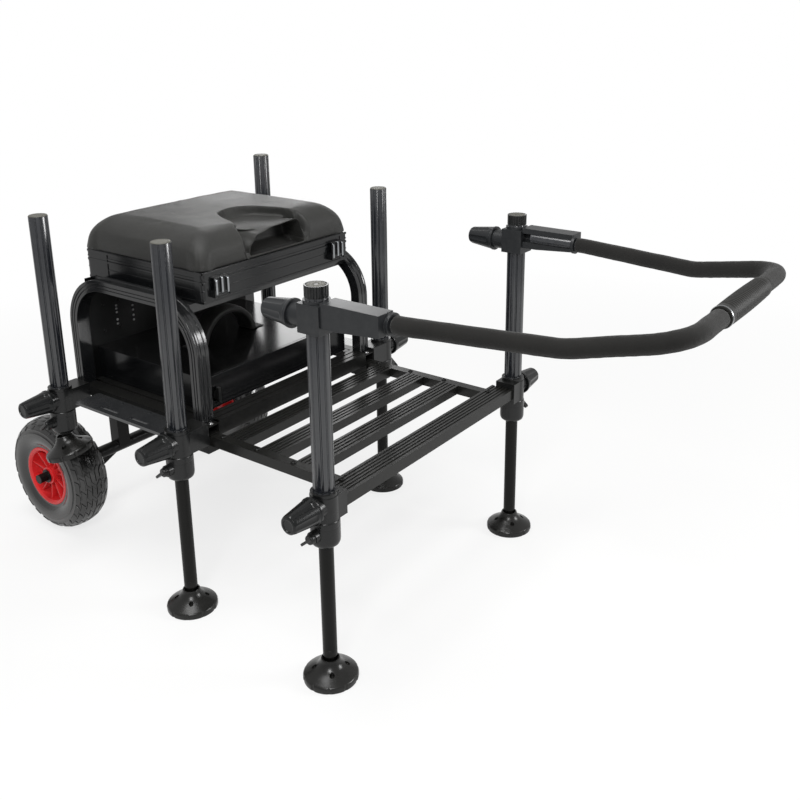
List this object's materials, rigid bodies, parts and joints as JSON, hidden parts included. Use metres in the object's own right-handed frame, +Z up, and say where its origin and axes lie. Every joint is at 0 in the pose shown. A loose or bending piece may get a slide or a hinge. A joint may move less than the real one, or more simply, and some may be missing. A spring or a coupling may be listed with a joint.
{
  "type": "fishing seat box",
  "caption": "Fishing seat box: a cushioned tray over a drawer, telescopic legs with swivel feet, a slatted footplate, a padded front bar and a wheeled frame behind.",
  "frame": {"origin": "on the ground, under the centre of the whole part's outline", "axes": "+X to the sitter's left, +Y backward from the sitter, +Z up"},
  "size_m": [0.776, 1.5094, 0.7645],
  "materials": {
    "anodised_tube": "satin anodised",
    "inner_tube": "satin anodised",
    "foot_plastic": "satin",
    "knob_plastic": "satin",
    "thumb_plastic": "satin",
    "cast_black": "satin",
    "head_plastic": "satin",
    "frame_black": "satin",
    "plate_grey": "satin",
    "arch_black": "satin anodised",
    "tray_black": "satin",
    "panel_black": "matte",
    "case_gloss": "glossy",
    "latch_chrome": "polished",
    "strap_webbing": "matte",
    "deck_black": "satin anodised",
    "cushion": "matte grained",
    "tyre": "matte",
    "rim_red": "satin",
    "bar_foam": "matte",
    "grip_rubber": "matte"
  },
  "bodies": {
    "seat_frame": {"seat_leg_clamps": "cast_black", "seat_rails": "frame_black", "side_plates": "plate_grey", "arches": "arch_black", "tray_beams": "frame_black", "tray_body": "tray_black", "rear_panel": "panel_black", "lower_case": "case_gloss", "carry_strap": "strap_webbing", "wheel_frame": "frame_black"},
    "lid": {"lid_frame": "tray_black", "seat_cushion": "cushion"},
    "latch_right": {"latch_right": "latch_chrome"},
    "latch_left": {"latch_left": "latch_chrome"},
    "drawer": {"lower_drawer": "case_gloss"},
    "drawer_catch": {"drawer_catch": "latch_chrome"},
    "wheel_right": {"tyre_right": "tyre", "rim_right": "rim_red"},
    "wheel_left": {"tyre_left": "tyre", "rim_left": "rim_red"},
    "footplate": {"footplate_frame": "deck_black", "footplate_slats": "deck_black", "footplate_leg_clamps": "cast_black"},
    "bar_carrier": {"arm_heads": "head_plastic", "bar_sockets": "head_plastic"},
    "arm_knob_right": {"arm_knob_right": "knob_plastic"},
    "arm_knob_left": {"arm_knob_left": "knob_plastic"},
    "front_bar": {"bar_tube": "inner_tube", "bar_foam": "bar_foam", "bar_grip": "grip_rubber"},
    "outer_rear_right": {"outer_leg_rear_right": "anodised_tube"},
    "inner_rear_right": {"inner_leg_rear_right": "inner_tube"},
    "foot_rear_right": {"mud_foot_rear_right": "foot_plastic"},
    "clamp_knob_rear_right": {"clamp_knob_rear_right": "knob_plastic"},
    "thumbscrew_rear_right": {"thumbscrew_rear_right": "thumb_plastic"},
    "outer_rear_left": {"outer_leg_rear_left": "anodised_tube"},
    "inner_rear_left": {"inner_leg_rear_left": "inner_tube"},
    "foot_rear_left": {"mud_foot_rear_left": "foot_plastic"},
    "clamp_knob_rear_left": {"clamp_knob_rear_left": "knob_plastic"},
    "thumbscrew_rear_left": {"thumbscrew_rear_left": "thumb_plastic"},
    "outer_seat_right": {"outer_leg_seat_right": "anodised_tube"},
    "inner_seat_right": {"inner_leg_seat_right": "inner_tube"},
    "foot_seat_right": {"mud_foot_seat_right": "foot_plastic"},
    "clamp_knob_seat_right": {"clamp_knob_seat_right": "knob_plastic"},
    "thumbscrew_seat_right": {"thumbscrew_seat_right": "thumb_plastic"},
    "outer_seat_left": {"outer_leg_seat_left": "anodised_tube"},
    "inner_seat_left": {"inner_leg_seat_left": "inner_tube"},
    "foot_seat_left": {"mud_foot_seat_left": "foot_plastic"},
    "clamp_knob_seat_left": {"clamp_knob_seat_left": "knob_plastic"},
    "thumbscrew_seat_left": {"thumbscrew_seat_left": "thumb_plastic"},
    "outer_front_right": {"outer_leg_front_right": "anodised_tube"},
    "inner_front_right": {"inner_leg_front_right": "inner_tube"},
    "foot_front_right": {"mud_foot_front_right": "foot_plastic"},
    "clamp_knob_front_right": {"clamp_knob_front_right": "knob_plastic"},
    "thumbscrew_front_right": {"thumbscrew_front_right": "thumb_plastic"},
    "outer_front_left": {"outer_leg_front_left": "anodised_tube"},
    "inner_front_left": {"inner_leg_front_left": "inner_tube"},
    "foot_front_left": {"mud_foot_front_left": "foot_plastic"},
    "clamp_knob_front_left": {"clamp_knob_front_left": "knob_plastic"},
    "thumbscrew_front_left": {"thumbscrew_front_left": "thumb_plastic"}
  },
  "joints": [
    {"name": "outer_leg_rear_right_slide", "type": "slide", "parent": "seat_frame", "child": "outer_rear_right", "axis": [0, 0, 1], "range_m": [-0.003, 0]},
    {"name": "inner_leg_rear_right_slide", "type": "slide", "parent": "outer_rear_right", "child": "inner_rear_right", "axis": [0, 0, 1], "range_m": [-0.002, 0.004]},
    {"name": "foot_rear_right_tilt", "type": "hinge", "parent": "inner_rear_right", "child": "foot_rear_right", "pos_m": [-0.301, 0.50675, 0.248], "axis": [0.8107, 0.5855, 0], "range_deg": [0, 16]},
    {"name": "clamp_knob_rear_right_turn", "type": "hinge", "parent": "seat_frame", "child": "clamp_knob_rear_right", "pos_m": [-0.329, 0.50675, 0.349], "axis": [-1, 0, 0], "range_deg": [0, 360]},
    {"name": "thumbscrew_rear_right_turn", "type": "hinge", "parent": "outer_rear_right", "child": "thumbscrew_rear_right", "pos_m": [-0.334, 0.50675, 0.3012], "axis": [-1, 0, 0], "range_deg": [0, 360]},
    {"name": "outer_leg_rear_left_slide", "type": "slide", "parent": "seat_frame", "child": "outer_rear_left", "axis": [0, 0, 1], "range_m": [-0.003, 0]},
    {"name": "inner_leg_rear_left_slide", "type": "slide", "parent": "outer_rear_left", "child": "inner_rear_left", "axis": [0, 0, 1], "range_m": [-0.002, 0.004]},
    {"name": "foot_rear_left_tilt", "type": "hinge", "parent": "inner_rear_left", "child": "foot_rear_left", "pos_m": [0.301, 0.50675, 0.248], "axis": [0.8107, -0.5855, 0], "range_deg": [0, 16]},
    {"name": "clamp_knob_rear_left_turn", "type": "hinge", "parent": "seat_frame", "child": "clamp_knob_rear_left", "pos_m": [0.329, 0.50675, 0.349], "axis": [1, 0, 0], "range_deg": [0, 360]},
    {"name": "thumbscrew_rear_left_turn", "type": "hinge", "parent": "outer_rear_left", "child": "thumbscrew_rear_left", "pos_m": [0.334, 0.50675, 0.3012], "axis": [1, 0, 0], "range_deg": [0, 360]},
    {"name": "outer_leg_seat_right_slide", "type": "slide", "parent": "seat_frame", "child": "outer_seat_right", "axis": [0, 0, 1], "range_m": [-0.3, 0]},
    {"name": "inner_leg_seat_right_slide", "type": "slide", "parent": "outer_seat_right", "child": "inner_seat_right", "axis": [0, 0, 1], "range_m": [-0.12, 0.2]},
    {"name": "foot_seat_right_tilt", "type": "hinge", "parent": "inner_seat_right", "child": "foot_seat_right", "pos_m": [-0.301, 0.15375, 0.022], "axis": [1, 0, 0], "range_deg": [-20, 20]},
    {"name": "clamp_knob_seat_right_turn", "type": "hinge", "parent": "seat_frame", "child": "clamp_knob_seat_right", "pos_m": [-0.329, 0.15375, 0.349], "axis": [-1, 0, 0], "range_deg": [0, 360]},
    {"name": "thumbscrew_seat_right_turn", "type": "hinge", "parent": "outer_seat_right", "child": "thumbscrew_seat_right", "pos_m": [-0.334, 0.15375, 0.3012], "axis": [-1, 0, 0], "range_deg": [0, 360]},
    {"name": "outer_leg_seat_left_slide", "type": "slide", "parent": "seat_frame", "child": "outer_seat_left", "axis": [0, 0, 1], "range_m": [-0.3, 0]},
    {"name": "inner_leg_seat_left_slide", "type": "slide", "parent": "outer_seat_left", "child": "inner_seat_left", "axis": [0, 0, 1], "range_m": [-0.12, 0.2]},
    {"name": "foot_seat_left_tilt", "type": "hinge", "parent": "inner_seat_left", "child": "foot_seat_left", "pos_m": [0.301, 0.15375, 0.022], "axis": [1, 0, 0], "range_deg": [-20, 20]},
    {"name": "clamp_knob_seat_left_turn", "type": "hinge", "parent": "seat_frame", "child": "clamp_knob_seat_left", "pos_m": [0.329, 0.15375, 0.349], "axis": [1, 0, 0], "range_deg": [0, 360]},
    {"name": "thumbscrew_seat_left_turn", "type": "hinge", "parent": "outer_seat_left", "child": "thumbscrew_seat_left", "pos_m": [0.334, 0.15375, 0.3012], "axis": [1, 0, 0], "range_deg": [0, 360]},
    {"name": "outer_leg_front_right_slide", "type": "slide", "parent": "footplate", "child": "outer_front_right", "axis": [0, 0, 1], "range_m": [-0.15, 0]},
    {"name": "inner_leg_front_right_slide", "type": "slide", "parent": "outer_front_right", "child": "inner_front_right", "axis": [0, 0, 1], "range_m": [-0.1, 0.18]},
    {"name": "foot_front_right_tilt", "type": "hinge", "parent": "inner_front_right", "child": "foot_front_right", "pos_m": [-0.301, -0.19625, 0.022], "axis": [1, 0, 0], "range_deg": [-20, 20]},
    {"name": "clamp_knob_front_right_turn", "type": "hinge", "parent": "footplate", "child": "clamp_knob_front_right", "pos_m": [-0.329, -0.19625, 0.334], "axis": [-1, 0, 0], "range_deg": [0, 360]},
    {"name": "thumbscrew_front_right_turn", "type": "hinge", "parent": "outer_front_right", "child": "thumbscrew_front_right", "pos_m": [-0.334, -0.19625, 0.2862], "axis": [-1, 0, 0], "range_deg": [0, 360]},
    {"name": "outer_leg_front_left_slide", "type": "slide", "parent": "footplate", "child": "outer_front_left", "axis": [0, 0, 1], "range_m": [-0.15, 0]},
    {"name": "inner_leg_front_left_slide", "type": "slide", "parent": "outer_front_left", "child": "inner_front_left", "axis": [0, 0, 1], "range_m": [-0.1, 0.18]},
    {"name": "foot_front_left_tilt", "type": "hinge", "parent": "inner_front_left", "child": "foot_front_left", "pos_m": [0.301, -0.19625, 0.022], "axis": [1, 0, 0], "range_deg": [-20, 20]},
    {"name": "clamp_knob_front_left_turn", "type": "hinge", "parent": "footplate", "child": "clamp_knob_front_left", "pos_m": [0.329, -0.19625, 0.334], "axis": [1, 0, 0], "range_deg": [0, 360]},
    {"name": "thumbscrew_front_left_turn", "type": "hinge", "parent": "outer_front_left", "child": "thumbscrew_front_left", "pos_m": [0.334, -0.19625, 0.2862], "axis": [1, 0, 0], "range_deg": [0, 360]},
    {"name": "lid_hinge", "type": "hinge", "parent": "seat_frame", "child": "lid", "pos_m": [0, 0.50975, 0.62225], "axis": [-1, 0, 0], "range_deg": [0, 85]},
    {"name": "latch_right_pivot", "type": "hinge", "parent": "seat_frame", "child": "latch_right", "pos_m": [-0.165, 0.16075, 0.596], "axis": [1, 0, 0], "range_deg": [0, 95]},
    {"name": "wheel_right_spin", "type": "hinge", "parent": "seat_frame", "child": "wheel_right", "pos_m": [-0.248, 0.62775, 0.127], "axis": [1, 0, 0], "continuous": true},
    {"name": "arm_knob_right_turn", "type": "hinge", "parent": "bar_carrier", "child": "arm_knob_right", "pos_m": [-0.301, -0.14925, 0.649], "axis": [0, 1, 0], "range_deg": [0, 360]},
    {"name": "latch_left_pivot", "type": "hinge", "parent": "seat_frame", "child": "latch_left", "pos_m": [0.165, 0.16075, 0.596], "axis": [1, 0, 0], "range_deg": [0, 95]},
    {"name": "wheel_left_spin", "type": "hinge", "parent": "seat_frame", "child": "wheel_left", "pos_m": [0.248, 0.62775, 0.127], "axis": [1, 0, 0], "continuous": true},
    {"name": "arm_knob_left_turn", "type": "hinge", "parent": "bar_carrier", "child": "arm_knob_left", "pos_m": [0.301, -0.14925, 0.649], "axis": [0, 1, 0], "range_deg": [0, 360]},
    {"name": "drawer_slide", "type": "slide", "parent": "seat_frame", "child": "drawer", "axis": [0, -1, 0], "range_m": [0, 0.2]},
    {"name": "drawer_catch_turn", "type": "hinge", "parent": "drawer", "child": "drawer_catch", "pos_m": [-0.178, 0.18115, 0.392], "axis": [0, -1, 0], "range_deg": [0, 90]},
    {"name": "footplate_slide", "type": "slide", "parent": "seat_frame", "child": "footplate", "axis": [0, -1, 0], "range_m": [0, 0.08]},
    {"name": "bar_height", "type": "slide", "parent": "outer_front_right", "child": "bar_carrier", "axis": [0, 0, 1], "range_m": [-0.11, 0]},
    {"name": "bar_reach", "type": "slide", "parent": "bar_carrier", "child": "front_bar", "axis": [0, -1, 0], "range_m": [0, 0.05]}
  ],
  "couplings": [
    {"joint": "outer_leg_front_left_slide", "follows": "outer_leg_front_right_slide", "ratio": 1}
  ]
}
